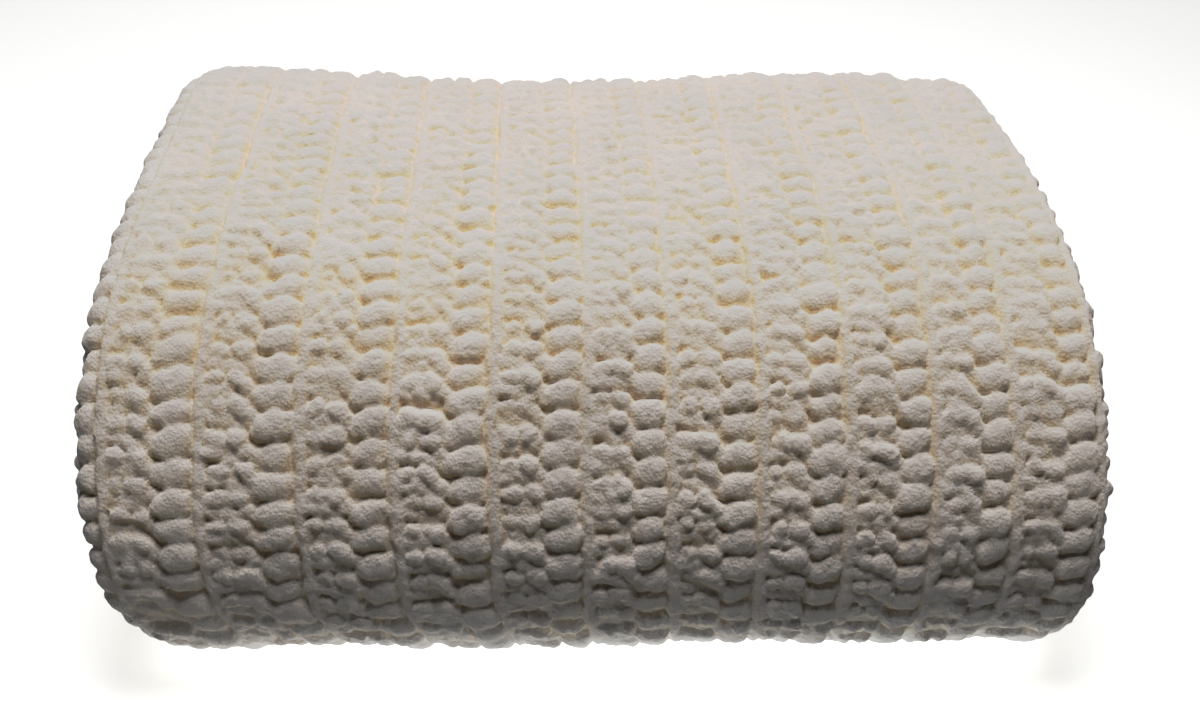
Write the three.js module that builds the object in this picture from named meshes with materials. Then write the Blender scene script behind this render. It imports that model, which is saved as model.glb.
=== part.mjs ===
// Crochet baby blanket of thick chenille yarn, folded into a stack.
// The cloth is doubled along its rows, which leaves a round fold on the left and two open edges on the right.
// The doubled cloth is then folded in half twice across the rows, so that one leaf wraps the top, the front
// and the underside.
// Millimetres, +Z up, the front fold faces -Y, the origin is in the middle of the footprint on the floor.

import * as THREE from "three";

// The cloth
const LAYER = 18.5; // one thickness of crochet, crest to crest
const LEAF_GAP = 1.6; // between the two leaves of the doubled cloth
const PASS_GAP = 4; // between two passes of the doubled cloth in the stack
const DOUBLED = 2 * LAYER + LEAF_GAP;
const HALF = DOUBLED / 2;

// Widths of the two-row bands of crochet on the upper leaf, from the left fold to the right edge
const BANDS = [54, 41, 39, 39.5, 38.5, 35.5, 37.5, 37, 37, 34, 41];
const WIDTH = BANDS.reduce((sum, band) => sum + band, 0);

// The section of one band: place across it as a share, and how far it lies under the crests
const BAND_SECTION = [
  { name: "row ridge", at: 0.0, depth: 1.4 },
  { name: "furrow", at: 0.12, depth: 3.4 },
  { name: "knot column", at: 0.32, depth: 0.2 },
  { name: "puff column", at: 0.78, depth: 0.0 },
];

// The fold path along the middle of the doubled cloth, from the free end on top at the back.
// length is in mm, turn in degrees, where a positive turn bends the leading end down and under.
// left and right are how far in the two edges lie at the start of each row, in mm.
const HALF_TURN = (Math.PI * (DOUBLED + PASS_GAP)) / 2;
const FIRST_SLOPE = -36;
const FOLD_PATH = [
  { name: "back lip", length: 44, turn: 32, steps: 4, left: 1, right: 0 },
  { name: "top", length: 96, turn: 4, steps: 4, left: 0, right: 0 },
  { name: "shoulder", length: 66, turn: 17, steps: 4, left: 3, right: 0 },
  { name: "upper slope", length: 50, turn: 28, steps: 4, left: 2, right: 0 },
  { name: "lower slope", length: 34, turn: 8, steps: 2, left: 0, right: 0 },
  { name: "nose", length: 38, turn: 31, steps: 4, left: 1, right: 0 },
  { name: "underturn", length: 26, turn: 48, steps: 4, left: 7, right: 2 },
  { name: "tuck", length: 27, turn: 48, steps: 4, left: 25, right: 8 },
  { name: "underside", length: 206, turn: 0, steps: 4, left: 35, right: 12 },
  { name: "back fold", length: HALF_TURN, turn: 180, steps: 8, left: 6, right: 4 },
  { name: "lower middle", length: 124, turn: 0, steps: 3, left: 3, right: 6 },
  { name: "inner fold", length: HALF_TURN, turn: -178, steps: 8, left: 5, right: 3 },
  { name: "upper middle", length: 134, turn: -6, steps: 3, left: 2, right: 5 },
];

// Soft sideways waves of the top, deepest at the back edge
const WAVE = { height: 3.2, length: 320, trough: -30, fades_over: 260 };

// Steps across the plain faces and round the edges of the cloth
const FOLD_EDGE_STEPS = 8;
const OPEN_EDGE_STEPS = 3;
const OPEN_EDGE_BULGE = 3;
const SLOT_END = 16; // from the left fold's outside to the end of the gap between the leaves

const LEFT = -WIDTH / 2;
const RIGHT = WIDTH / 2;

// Left edges of the bands, with the right edge of the cloth last
function bandEdges() {
  const edges = [LEFT];
  for (const band of BANDS) edges.push(edges.at(-1) + band);
  return edges;
}

// Points of the ribbed face from right to left, as { x, n } with n along the cloth's normal
function ribbedFace() {
  const edges = bandEdges();
  const points = [];
  BANDS.forEach((band, k) => {
    for (const { at, depth } of BAND_SECTION) {
      points.push({ x: edges[k] + at * band, n: HALF - depth });
    }
  });
  const clearOfFold = points.filter(({ x }) => x > LEFT + HALF && x < RIGHT - OPEN_EDGE_BULGE);
  return clearOfFold.reverse();
}

// Points of a plain face at height n, one for each band edge
function plainFace(n, leftEnd, rightEnd) {
  const inner = bandEdges().filter((x) => x > leftEnd + 1 && x < rightEnd - 1);
  return [leftEnd, ...inner, rightEnd].map((x) => ({ x, n }));
}

// A round edge from one height to another, bulging by the given distance from x
function roundEdge(x, from, to, bulge, steps) {
  const points = [];
  for (let i = 0; i <= steps; i++) {
    const angle = Math.PI * (i / steps);
    const n = (from + to) / 2 + ((from - to) / 2) * Math.cos(angle);
    points.push({ x: x + bulge * Math.sin(angle), n });
  }
  return points;
}

// The closed section of the doubled cloth, seen along the fold path
function clothSection() {
  const gap = LEAF_GAP / 2;
  const edge = RIGHT - OPEN_EDGE_BULGE;
  return [
    ...ribbedFace(),
    ...roundEdge(LEFT + HALF, HALF, -HALF, -HALF, FOLD_EDGE_STEPS),
    ...plainFace(-HALF, LEFT + HALF, edge).slice(1, -1),
    ...roundEdge(edge, -HALF, -gap, OPEN_EDGE_BULGE, OPEN_EDGE_STEPS),
    ...plainFace(-gap, LEFT + SLOT_END, edge).slice(1, -1).reverse(),
    ...plainFace(gap, LEFT + SLOT_END, edge).slice(0, -1),
    ...roundEdge(edge, gap, HALF, OPEN_EDGE_BULGE, OPEN_EDGE_STEPS),
  ];
}

// Stations along the fold path: place, slope (0 level and forward, 180 level and backward), edges drawn in
function foldStations() {
  const stations = [];
  let [y, z, slope, along] = [0, 0, FIRST_SLOPE, 0];
  FOLD_PATH.forEach(({ length, turn, steps, left, right }, k) => {
    const next = FOLD_PATH[k + 1] ?? FOLD_PATH[k];
    for (let i = 0; i < steps; i++) {
      const inLeft = THREE.MathUtils.lerp(left, next.left, i / steps);
      const inRight = THREE.MathUtils.lerp(right, next.right, i / steps);
      stations.push({ y, z, slope, along, inLeft, inRight });
      const middle = THREE.MathUtils.degToRad(slope + turn / steps / 2);
      y -= (Math.cos(middle) * length) / steps;
      z -= (Math.sin(middle) * length) / steps;
      slope += turn / steps;
      along += length / steps;
    }
  });
  const { left, right } = FOLD_PATH.at(-1);
  stations.push({ y, z, slope, along, inLeft: left, inRight: right });
  return stations;
}

// Height of the soft waves at x, a distance along the fold path from the free end
function wave(x, along) {
  const fade = Math.max(0, 1 - along / WAVE.fades_over);
  return -WAVE.height * fade * Math.cos((2 * Math.PI * (x - WAVE.trough)) / WAVE.length);
}

// Sweeps the section along the stations and closes both ends
function foldedCloth() {
  const section = clothSection();
  const stations = foldStations();
  const rings = stations.map(({ y, z, slope, along, inLeft, inRight }) => {
    const angle = THREE.MathUtils.degToRad(slope);
    return section.map(({ x, n }) => {
      const across = THREE.MathUtils.mapLinear(x, LEFT, RIGHT, LEFT + inLeft, RIGHT - inRight);
      const place = new THREE.Vector3(across, y - n * Math.sin(angle), z + n * Math.cos(angle));
      place.z += wave(x, along);
      return place;
    });
  });

  const count = section.length;
  const corners = [];
  for (let j = 0; j + 1 < rings.length; j++) {
    for (let i = 0; i < count; i++) {
      const next = (i + 1) % count;
      const [a, b] = [j * count + i, j * count + next];
      corners.push(a, b, b + count, a, b + count, a + count);
    }
  }
  const outline = section.map(({ x, n }) => new THREE.Vector2(x, n));
  const last = (rings.length - 1) * count;
  for (const [a, b, c] of THREE.ShapeUtils.triangulateShape(outline, [])) {
    corners.push(a, c, b, last + a, last + b, last + c);
  }

  const geometry = new THREE.BufferGeometry().setFromPoints(rings.flat());
  geometry.setIndex(corners);
  return geometry;
}

// Lays the cloth on the floor: the ribs under it are pressed flat, and the footprint is centred
function onFloor(geometry) {
  geometry.computeBoundingBox();
  const box = geometry.boundingBox;
  const pressed = Math.max(...BAND_SECTION.map(({ depth }) => depth));
  const floor = box.min.z + pressed;
  geometry.translate(-(box.min.x + box.max.x) / 2, -(box.min.y + box.max.y) / 2, -floor);
  const points = geometry.getAttribute("position");
  for (let i = 0; i < points.count; i++) points.setZ(i, Math.max(0, points.getZ(i)));
  geometry.computeVertexNormals();
  return geometry;
}

const chenille = new THREE.MeshStandardMaterial({ color: 0xefe6d3, roughness: 0.95, metalness: 0 });

const blanket = new THREE.Mesh(onFloor(foldedCloth()), chenille);
blanket.name = "blanket";

const part = new THREE.Group();
part.add(blanket);

export default part;
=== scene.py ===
"""Looks of a folded crochet baby blanket of thick chenille yarn.

The cloth is worked out in millimetres along its folds and written to Blender in metres.
"""

import logging
import math
from dataclasses import dataclass
from enum import Enum, IntEnum

import bpy
import numpy as np
from mathutils import Matrix, Vector


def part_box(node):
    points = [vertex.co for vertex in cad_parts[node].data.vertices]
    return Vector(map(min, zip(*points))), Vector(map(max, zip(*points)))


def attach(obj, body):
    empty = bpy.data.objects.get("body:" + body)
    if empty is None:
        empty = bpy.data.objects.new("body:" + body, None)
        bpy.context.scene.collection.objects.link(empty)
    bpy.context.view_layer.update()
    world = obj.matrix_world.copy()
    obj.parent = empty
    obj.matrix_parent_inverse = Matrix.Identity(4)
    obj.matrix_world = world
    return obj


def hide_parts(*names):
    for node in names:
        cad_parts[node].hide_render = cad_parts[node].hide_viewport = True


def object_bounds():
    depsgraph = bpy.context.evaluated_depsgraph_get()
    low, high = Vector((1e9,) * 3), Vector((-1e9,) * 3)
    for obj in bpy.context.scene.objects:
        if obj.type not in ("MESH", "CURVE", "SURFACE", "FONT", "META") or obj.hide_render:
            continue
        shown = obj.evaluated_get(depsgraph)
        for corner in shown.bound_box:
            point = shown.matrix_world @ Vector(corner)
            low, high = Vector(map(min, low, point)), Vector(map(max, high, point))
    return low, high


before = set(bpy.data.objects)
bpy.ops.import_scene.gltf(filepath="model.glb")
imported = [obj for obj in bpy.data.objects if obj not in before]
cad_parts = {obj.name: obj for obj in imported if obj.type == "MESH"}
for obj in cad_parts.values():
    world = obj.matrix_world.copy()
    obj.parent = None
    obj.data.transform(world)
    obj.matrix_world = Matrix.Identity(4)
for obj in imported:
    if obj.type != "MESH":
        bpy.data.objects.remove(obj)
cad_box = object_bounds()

LOG = logging.getLogger("blanket")

MM = 0.001
NODE = "blanket"
BODY = "root"
SEED = 11

# One value or an array of them
Values = np.ndarray | float

# Added to the numbers of stitches, which start below zero, because a seed can't be negative
STITCH_SHIFT = 8

# Keeps a length that something is divided by over zero
TINY = 1e-12

# The mesh layer of height in the pile with painted shade: lower in creases and on the undersides of
# strands, which the yarn colours warmer and darker
PAINTED_SHADE_LAYER = "height_and_painted_shade"

# The flat layout of the meshes for textures
FLAT_LAYOUT = "OFBake"

# The photograph's width in pixels, and the film's width in mm
PHOTO_WIDTH = 1200
FILM_WIDTH = 36.0

# Large odd numbers that scramble whole-number places into fixed chance values
SCRAMBLE_COLUMN = 374761393
SCRAMBLE_ROW = 668265263
SCRAMBLE_SEED = 974711
SCRAMBLE_AGAIN = 1274126177
WORD = 0xFFFFFFFF
HALF_WORD = 0xFFFF


def linear(colour: str) -> tuple[float, float, float, float]:
    """Turns an sRGB hex colour to linear.

    Args:
        colour: six hex digits, with or without a leading #.

    Returns:
        Linear red, green and blue, and an alpha of 1.
    """
    digits = colour.lstrip("#")
    shares = [int(digits[k:k + 2], 16) / 255 for k in (0, 2, 4)]
    lit = [c / 12.92 if c <= 0.04045 else ((c + 0.055) / 1.055) ** 2.4 for c in shares]
    return (*lit, 1.0)


def add_node(tree: bpy.types.NodeTree, kind: str, links: dict | None = None, **settings) -> bpy.types.Node:
    """Adds a shader node with its settings, socket values and links.

    Args:
        tree: the node tree that gets the node.
        kind: Blender's name of the node's class.
        links: socket name or number to a value, or to another node's output socket.
        settings: the node's own properties.

    Returns:
        The new node.
    """
    node = tree.nodes.new(kind)
    for name, value in settings.items():
        setattr(node, name, value)
    for name, value in (links or {}).items():
        if isinstance(value, bpy.types.NodeSocket):
            tree.links.new(value, node.inputs[name])
        else:
            node.inputs[name].default_value = value
    return node


def lattice(seed: int, column: np.ndarray, row: np.ndarray) -> np.ndarray:
    """Gives each whole-number place a fixed value from -1 to 1.

    Args:
        seed: chooses one of many such fields.
        column: whole numbers across.
        row: whole numbers along.

    Returns:
        The values, in the shape of column and row broadcast together.
    """
    mixed = (column * SCRAMBLE_COLUMN + row * SCRAMBLE_ROW + seed * SCRAMBLE_SEED) & WORD
    mixed = ((mixed ^ (mixed >> 13)) * SCRAMBLE_AGAIN) & WORD
    return ((mixed ^ (mixed >> 16)) & HALF_WORD) / (HALF_WORD / 2) - 1.0


def soft_noise(seed: int, across: np.ndarray, along: np.ndarray) -> np.ndarray:
    """Smooth noise from -1 to 1 with features about one unit wide.

    Args:
        seed: chooses one of many such fields.
        across: places across, in units of the noise.
        along: places along, in units of the noise.

    Returns:
        The noise, in the shape of across and along broadcast together.
    """
    column = np.floor(across).astype(np.int64)
    row = np.floor(along).astype(np.int64)
    u = across - column
    v = along - row
    u = u * u * (3 - 2 * u)
    v = v * v * (3 - 2 * v)
    near = lattice(seed, column, row) * (1 - u) + lattice(seed, column + 1, row) * u
    far = lattice(seed, column, row + 1) * (1 - u) + lattice(seed, column + 1, row + 1) * u
    return near * (1 - v) + far * v


class Chance(IntEnum):
    """The fields of chance values, so that no two unevennesses move together."""

    GROUND = 0
    SWELL = 1
    PILE = 2
    FIRST_STITCH = 4
    KNOT_RUNS = 6
    PUFF_RUNS = 7
    FURROWS = 8
    ASTRAY_ACROSS = 20
    ASTRAY_ALONG = 30


@dataclass(frozen=True)
class Unevenness:
    """Smooth chance unevenness of the cloth.

    Attributes:
        field: the first field of chance values that it may read.
        amount: the most that it adds or takes away, in mm.
        wide: size of its features across the cloth, in mm.
        deep: size of its features along the rows, in mm.
    """

    field: int
    amount: float
    wide: float
    deep: float

    def at(self, wide: np.ndarray, deep: np.ndarray, other: int = 0) -> np.ndarray:
        """Gives the unevenness at places on the cloth.

        Args:
            wide: places across, in mm.
            deep: places along, in mm.
            other: how many fields further on it reads.

        Returns:
            Distances in mm, in the shape of wide and deep broadcast together.
        """
        return self.amount * soft_noise(SEED + self.field + other, wide / self.wide, deep / self.deep)


class Sight(Enum):
    """How a stretch of the folds shows, with the step of its mesh in mm of cloth."""

    OPEN = 1.0
    BEHIND = 1.25
    UNDER = 4.0
    HIDDEN = 9.0


@dataclass(frozen=True)
class FoldRow:
    """One stretch of the fold path, as long as the middle of the doubled cloth there.

    Attributes:
        name: what the stretch is.
        length: in mm.
        turn: in degrees, positive where the leading end bends down and under.
        left: how far in the left edge lies at the start, in mm.
        right: how far in the right edge lies at the start, in mm.
        sight: how the stretch shows.
    """

    name: str
    length: float
    turn: float
    left: float
    right: float
    sight: Sight


@dataclass(frozen=True)
class Stations:
    """Places along the fold path, one value of each array for each place.

    Attributes:
        along: distance along the middle of the doubled cloth, in mm.
        cloth: distance along the outer side of the bends, in mm, where the stitches are counted.
        y: in mm.
        z: in mm.
        slope: in radians, 0 level and forward, pi level and backward.
        left: how far in the left edge lies, in mm.
        right: how far in the right edge lies, in mm.
        shown: 1 where the cloth's outer face shows, 0 where it lies hidden in the stack.
    """

    along: np.ndarray
    cloth: np.ndarray
    y: np.ndarray
    z: np.ndarray
    slope: np.ndarray
    left: np.ndarray
    right: np.ndarray
    shown: np.ndarray


@dataclass(frozen=True)
class Band:
    """Two rows of crochet that repeat across the cloth.

    Attributes:
        number: of the band, from the lower leaf's edge.
        start: place of its row ridge across the cloth, in mm.
        end: place of the next band's row ridge, in mm.
    """

    number: int
    start: float
    end: float

    @property
    def width(self) -> float:
        """Width of the band in mm."""
        return self.end - self.start


@dataclass(frozen=True)
class Cloth:
    """Sizes of the doubled cloth, in mm.

    Attributes:
        layer: one thickness of crochet, crest to crest.
        leaf_gap: between the two leaves of the doubled cloth.
        pass_gap: between two passes of the doubled cloth in the stack.
        pressed: how far the lowest crests are pressed in by the cloth's weight.
        band_widths: of the bands on the upper leaf, from the left fold to the right edge.
        lower_band: width of a band on the lower leaf, which hardly shows.
        edge_band: width of the last band, round the right edge.
        end_round: length over which the cloth's free ends are rounded off.
    """

    layer: float = 18.5
    leaf_gap: float = 1.6
    pass_gap: float = 4.0
    pressed: float = 3.4
    band_widths: tuple[float, ...] = (54, 41, 39, 39.5, 38.5, 35.5, 37.5, 37, 37, 34, 41)
    lower_band: float = 40.0
    edge_band: float = 27.0
    end_round: float = 9.0

    @property
    def half(self) -> float:
        """Half the thickness of the doubled cloth."""
        return self.layer + self.leaf_gap / 2

    @property
    def middle(self) -> float:
        """From the middle of the doubled cloth to the middle of one leaf."""
        return (self.layer + self.leaf_gap) / 2

    @property
    def rim(self) -> float:
        """Radius of a leaf's round edge."""
        return self.layer / 2

    @property
    def width(self) -> float:
        """Width of the folded cloth."""
        return sum(self.band_widths)

    @property
    def flat_run(self) -> float:
        """Flat width of a leaf, from the left fold to where its right edge turns."""
        return self.width - self.half - self.rim

    @property
    def fold_run(self) -> float:
        """The outside of the left fold, measured round it."""
        return math.pi * self.half

    @property
    def rim_run(self) -> float:
        """A leaf's right edge, measured round it."""
        return math.pi * self.rim

    def ridges(self) -> np.ndarray:
        """Places of the row ridges across the cloth, from the lower leaf's edge to the upper leaf's.

        Returns:
            Places in mm, where 0 is the start of the left fold and the upper leaf is positive.
        """
        upper = list(np.cumsum(self.band_widths)[:-1] - self.half)
        lowest = -(self.fold_run + self.flat_run + self.rim_run)
        lower = list(np.arange(upper[0] - self.lower_band, lowest - self.lower_band, -self.lower_band))
        edge = self.flat_run + self.rim / 2
        return np.array(lower[::-1] + upper + [edge, edge + self.edge_band])

    def bands(self) -> list[Band]:
        """The bands between the row ridges.

        Returns:
            The bands in order across the cloth.
        """
        ridges = self.ridges()
        return [Band(k, start, end) for k, (start, end) in enumerate(zip(ridges[:-1], ridges[1:]))]


@dataclass(frozen=True)
class FoldPath:
    """The path of the doubled cloth through the stack, from its free end on top at the back.

    Attributes:
        cloth: sizes of the cloth.
        first_slope: of the path at the free end, in degrees.
        wave_height: of the soft sideways waves of the top, in mm.
        wave_length: of the waves, in mm.
        wave_trough: place of a trough across the stack, in mm.
        wave_fades_over: distance along the path over which the waves fade, in mm.
        fewest_steps: that a stretch is divided into.
    """

    cloth: Cloth
    first_slope: float = -36.0
    wave_height: float = 3.2
    wave_length: float = 320.0
    wave_trough: float = -30.0
    wave_fades_over: float = 260.0
    fewest_steps: int = 6

    def rows(self) -> tuple[FoldRow, ...]:
        """The stretches of the path.

        Returns:
            The stretches in order.
        """
        half_turn = math.pi * (2 * self.cloth.half + self.cloth.pass_gap) / 2
        return (
            FoldRow("back lip", 44, 32, 1, 0, Sight.OPEN),
            FoldRow("top", 96, 4, 0, 0, Sight.OPEN),
            FoldRow("shoulder", 66, 17, 3, 0, Sight.OPEN),
            FoldRow("upper slope", 50, 28, 2, 0, Sight.OPEN),
            FoldRow("lower slope", 34, 8, 0, 0, Sight.OPEN),
            FoldRow("nose", 38, 31, 1, 0, Sight.OPEN),
            FoldRow("underturn", 26, 48, 7, 2, Sight.OPEN),
            FoldRow("tuck", 27, 48, 25, 8, Sight.OPEN),
            FoldRow("underside", 206, 0, 35, 12, Sight.UNDER),
            FoldRow("back fold", half_turn, 180, 6, 4, Sight.BEHIND),
            FoldRow("lower middle, at the back", 24, 0, 3, 6, Sight.BEHIND),
            FoldRow("lower middle", 100, 0, 3.4, 5.4, Sight.HIDDEN),
            FoldRow("inner fold", half_turn, -178, 5, 3, Sight.HIDDEN),
            FoldRow("upper middle", 112, -5, 2, 5, Sight.HIDDEN),
            FoldRow("upper middle, at the back", 22, -1, 2, 5, Sight.BEHIND),
        )

    def length(self) -> float:
        """Length of the whole path in mm."""
        return sum(row.length for row in self.rows())

    def stations(self, all_open: bool, stride: float) -> Stations:
        """Places along the path, closest together where the cloth shows.

        Args:
            all_open: whether every stretch shows, as at the sides of the stack.
            stride: how many times longer the steps are than the stretches' own.

        Returns:
            The places, with the stack's lowest crest at a height of 0.
        """
        rows = self.rows()
        parts: list[np.ndarray] = []
        y = z = along = cloth = 0.0
        slope = math.radians(self.first_slope)
        for row, following in zip(rows, (*rows[1:], rows[-1])):
            turn = math.radians(row.turn)
            run = row.length + self.cloth.half * abs(turn)
            step = Sight.BEHIND.value if all_open else row.sight.value
            count = max(self.fewest_steps, math.ceil(run / (step * stride)))
            share = np.arange(count + (row is rows[-1])) / count
            shown = float(all_open or row.sight is not Sight.HIDDEN)
            step_y, step_z = self._way(row, slope, share)
            parts.append(np.array([
                along + row.length * share,
                cloth + run * share,
                y + step_y,
                z + step_z,
                slope + turn * share,
                row.left + (following.left - row.left) * share,
                row.right + (following.right - row.right) * share,
                np.full_like(share, shown),
            ]))
            end_y, end_z = self._way(row, slope, 1.0)
            y += end_y
            z += end_z
            slope += turn
            along += row.length
            cloth += run
        return self._placed(Stations(*np.concatenate(parts, axis=1)))

    def _way(self, row: FoldRow, slope: float, share: Values) -> tuple[Values, Values]:
        """How far a stretch has gone from its start.

        Args:
            row: the stretch.
            slope: at its start, in radians.
            share: how much of the stretch lies behind.

        Returns:
            Distances along y and z, in mm, in the shape of share.
        """
        if not row.turn:
            return -np.cos(slope) * row.length * share, -np.sin(slope) * row.length * share
        turn = math.radians(row.turn)
        radius = row.length / turn
        bend = slope + turn * share
        return radius * (np.sin(slope) - np.sin(bend)), radius * (np.cos(bend) - np.cos(slope))

    def _placed(self, found: Stations) -> Stations:
        """Moves stations so that the front fold meets the solid's front and the lowest crest is at 0.

        Args:
            found: stations in any place.

        Returns:
            The same stations in the part's own frame.
        """
        half = self.cloth.half
        outer_y = found.y - half * np.sin(found.slope)
        outer_z = found.z + half * np.cos(found.slope)
        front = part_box(NODE)[0][1] / MM
        found.y[:] += front - outer_y.min()
        found.z[:] -= outer_z.min()
        return found


@dataclass(frozen=True)
class Bead:
    """One point that a strand of yarn passes through, or the spread of chance of such a point.

    Attributes:
        across: share of the band's width, from its row ridge.
        along: share of the stitch pitch.
        height: of the strand's middle over the ground of the cloth, in mm.
        radius: of the yarn there, in mm.
    """

    across: float
    along: float
    height: float
    radius: float

    def row(self) -> tuple[float, float, float, float]:
        """The bead as a row of numbers."""
        return self.across, self.along, self.height, self.radius


# Columns of a bead's row that chance works on alone
HEIGHT = 2
RADIUS = 3


class Strand(Enum):
    """The strands of yarn that show in one stitch, each as the beads that it passes through."""

    CORD = (Bead(0.0, 0.08, 3.2, 2.7), Bead(0.006, 0.50, 3.8, 2.9), Bead(0.0, 0.92, 3.2, 2.7))
    LEFT_LOBE = (Bead(0.12, 0.15, 3.3, 3.2), Bead(0.18, 0.10, 4.0, 3.6))
    BRIDGE = (Bead(0.21, 0.22, 1.3, 3.0), Bead(0.32, 0.20, 1.5, 3.0))
    RIGHT_LOBE = (Bead(0.345, 0.09, 4.0, 3.5), Bead(0.41, 0.14, 4.2, 3.8))
    MIDDLE_LOBE = (Bead(0.24, 0.42, 2.3, 3.2), Bead(0.30, 0.47, 2.1, 3.3))
    LOWER_LOBE = (Bead(0.44, 0.36, 3.2, 3.4), Bead(0.48, 0.47, 2.8, 3.4))
    NECK = (Bead(0.48, 0.48, 2.2, 3.3), Bead(0.54, 0.62, 1.7, 3.3), Bead(0.59, 0.72, 1.4, 3.2))
    SHOULDER = (Bead(0.08, 0.54, 2.6, 3.1), Bead(0.16, 0.57, 2.3, 3.3))
    FOOT = (Bead(0.24, 0.66, 1.8, 3.1), Bead(0.33, 0.72, 1.6, 3.1), Bead(0.41, 0.78, 1.2, 3.0))
    PUFF = (
        Bead(0.59, 0.85, 1.4, 4.2), Bead(0.67, 0.76, 2.0, 5.8), Bead(0.77, 0.64, 2.1, 6.1),
        Bead(0.855, 0.54, 1.2, 4.1),
    )
    TAIL = (Bead(0.74, 1.01, 1.4, 3.1), Bead(0.83, 0.93, 2.4, 3.3), Bead(0.90, 0.83, 1.4, 3.0))

    @property
    def plump(self) -> bool:
        """Whether the strand belongs to the stitch's puff and not to its knot."""
        return self in (Strand.PUFF, Strand.TAIL)


@dataclass(frozen=True)
class Crochet:
    """The relief of the stitches, in mm, as a height over the cloth.

    Attributes:
        cloth: sizes of the cloth.
        pitch: from one stitch to the next along the rows.
        crest: usual height of the crests over the ground.
        depth: share of the strands' height that is left where they lie packed in the cloth.
        merge: how sharply strands part where they meet, for each mm.
        skirt: how steeply a strand falls away past its side.
        ground: height of the yarn that shows between the strands.
        ground_rough: unevenness of that yarn.
        swell: slow rise and fall of the whole relief.
        pile: the tufts of the pile.
        astray: how far the yarn strays from the even pattern, coarse to fine.
        overlap: how far a band reaches over its neighbours, as a share of its width.
        before: how far a stitch reaches back from its start, in pitches.
        after: how far it reaches on, in pitches.
        furrow_at: place of the furrow beside a row ridge, as a share of the band's width.
        furrow_depth: of the furrow where it is most open.
        furrow_half: half its width.
        furrow_run: length over which it opens and closes.
        furrow_apart: how far apart two bands' furrows are in the noise.
        swollen: how much higher or lower runs of stitches stand.
        swollen_run: length of such a run, in stitches.
        knots_apart: how far apart two bands' knots are in the noise.
        puffs_apart: how far apart two bands' puffs are in the noise.
        knot_spread: chance in the place of a stitch's knot.
        puff_spread: chance in the place of a stitch's puff.
        bead_spread: chance in each bead.
        cord_share: how much of that chance the row ridges get.
        size_spread: chance in the thickness of knots and puffs, as a share.
        spare: stitches that are worked past each end of the rows.
        settle: rounds in which the strayed place of a furrow is found.
    """

    cloth: Cloth
    pitch: float = 12.2
    crest: float = 7.0
    depth: float = 0.70
    merge: float = 1.6
    skirt: float = 3.0
    ground: float = 1.3
    ground_rough: Unevenness = Unevenness(Chance.GROUND, 0.5, 6, 6)
    swell: Unevenness = Unevenness(Chance.SWELL, 1.0, 48, 60)
    pile: Unevenness = Unevenness(Chance.PILE, 0.28, 2.1, 2.1)
    astray: tuple[Unevenness, ...] = (
        Unevenness(0, 1.0, 60, 50), Unevenness(1, 0.8, 9, 9), Unevenness(2, 0.35, 4.2, 4.2),
    )
    overlap: float = 0.16
    before: float = 0.9
    after: float = 1.9
    furrow_at: float = 0.062
    furrow_depth: float = 1.7
    furrow_half: float = 1.0
    furrow_run: float = 16.0
    furrow_apart: float = 5.7
    swollen: float = 1.0
    swollen_run: float = 3.5
    knots_apart: float = 9.1
    puffs_apart: float = 7.3
    knot_spread: Bead = Bead(0.018, 0.07, 0.65, 0.0)
    puff_spread: Bead = Bead(0.012, 0.03, 0.6, 0.0)
    bead_spread: Bead = Bead(0.013, 0.035, 0.3, 0.2)
    cord_share: float = 0.6
    size_spread: float = 0.06
    spare: int = 2
    settle: int = 4

    def heights(self, wide: np.ndarray, along: np.ndarray) -> tuple[np.ndarray, np.ndarray, np.ndarray]:
        """Heights of the yarn over the crests' usual level.

        Args:
            wide: rising places across the cloth, in mm, a row for each place along.
            along: rising places along the rows, in mm.

        Returns:
            Heights of the strands and of the pile on them, in mm, and how far up from the ground to the
            crests the strands are, from 0 to 1, each as a row for each place along.
        """
        deep = along[:, None]
        across = wide.mean(axis=0)
        total = np.exp(self.merge * (self.ground + self.ground_rough.at(wide, deep)))
        furrows = np.zeros_like(total)
        bent_wide = wide + self._bend(Chance.ASTRAY_ACROSS, wide, deep)
        bent_deep = deep + self._bend(Chance.ASTRAY_ALONG, wide, deep)
        for band in self.cloth.bands():
            first = np.searchsorted(across, band.start - self.overlap * band.width)
            last = np.searchsorted(across, band.end + self.overlap * band.width)
            if last - first > 1:
                view = np.s_[:, first:last]
                self._add_band(total[view], band, bent_wide[view], bent_deep[view], along)
                furrows[view] += self._furrow(band, bent_wide[view], deep)
        lumps = np.log(total) / self.merge - self.furrow_depth * furrows
        strands = self.depth * (lumps - self.crest) + self.swell.at(wide, deep)
        return strands, self.pile.at(wide, deep), np.clip(lumps / self.crest, 0, 1)

    def furrow_shift(self, place: float, along: np.ndarray) -> np.ndarray:
        """How far a furrow strays from its even place.

        Args:
            place: even place of the furrow across the cloth, in mm.
            along: places along the rows, in mm.

        Returns:
            Distances in mm.
        """
        deep = along[:, None]
        shift = np.zeros_like(deep)
        for _ in range(self.settle):
            shift = -self._bend(Chance.ASTRAY_ACROSS, place + shift, deep)
        return shift[:, 0]

    def _bend(self, way: Chance, wide: np.ndarray, deep: np.ndarray) -> np.ndarray:
        """How far the yarn strays from the even pattern.

        Args:
            way: across or along.
            wide: places across, in mm.
            deep: places along, in mm.

        Returns:
            Distances in mm, in the shape of wide and deep broadcast together.
        """
        return sum(part.at(wide, deep, way) for part in self.astray)

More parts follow.
